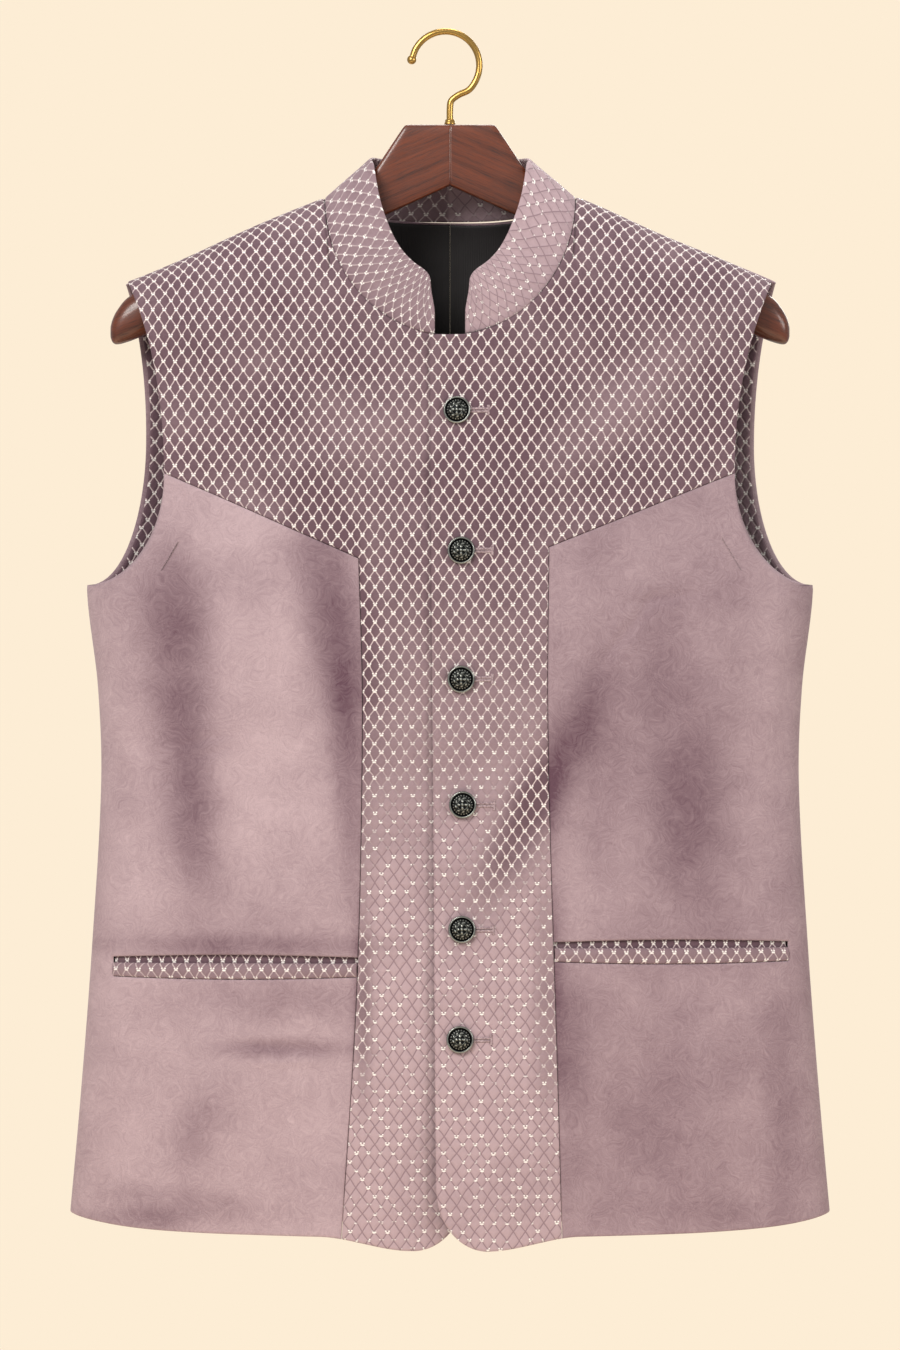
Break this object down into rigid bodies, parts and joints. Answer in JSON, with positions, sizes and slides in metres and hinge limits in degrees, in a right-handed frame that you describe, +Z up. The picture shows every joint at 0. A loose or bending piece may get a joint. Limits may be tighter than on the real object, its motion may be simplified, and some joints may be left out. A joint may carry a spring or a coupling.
{
  "type": "nehru jacket on a hanger",
  "caption": "Sleeveless band-collared velvet jacket, buttoned at the front with welt pockets, hanging on a wooden hanger by its wire hook.",
  "frame": {"origin": "the inside of the hook's crown, where a rail bears, on the hanger's middle plane", "axes": "+Z up along the hanging jacket, +X to the wearer's left, +Y to the back, so the buttoned front faces -Y"},
  "size_m": [0.5014, 0.1045, 0.804],
  "materials": {
    "figured_velvet": "cut velvet woven with a small diamond lattice in a pale metallic thread, mauve",
    "plain_velvet": "plain crushed-pile velvet, pale mauve with darker brushed patches",
    "lining_satin": "black satin",
    "button_metal": "domed metal in a dark antique finish, rubbed bright on the raised parts",
    "hanger_wood": "reddish dark hardwood, varnished",
    "hook_brass": "satin brass wire"
  },
  "bodies": {
    "root": {"right_front_figured": "figured_velvet", "right_front_plain": "plain_velvet", "right_pocket_welt": "figured_velvet", "right_pocket_facing": "figured_velvet", "right_back": "plain_velvet", "right_back_lining": "lining_satin", "right_armhole_facing": "figured_velvet", "hanger_right_arm": "hanger_wood", "left_front_figured": "figured_velvet", "left_front_plain": "plain_velvet", "left_pocket_welt": "figured_velvet", "left_pocket_facing": "figured_velvet", "left_back": "plain_velvet", "left_back_lining": "lining_satin", "left_armhole_facing": "figured_velvet", "hanger_left_arm": "hanger_wood", "collar": "figured_velvet", "button_1": "button_metal", "button_2": "button_metal", "button_3": "button_metal", "button_4": "button_metal", "button_5": "button_metal", "button_6": "button_metal", "hook": "hook_brass", "hook_ferrule": "hook_brass"}
  },
  "joints": []
}
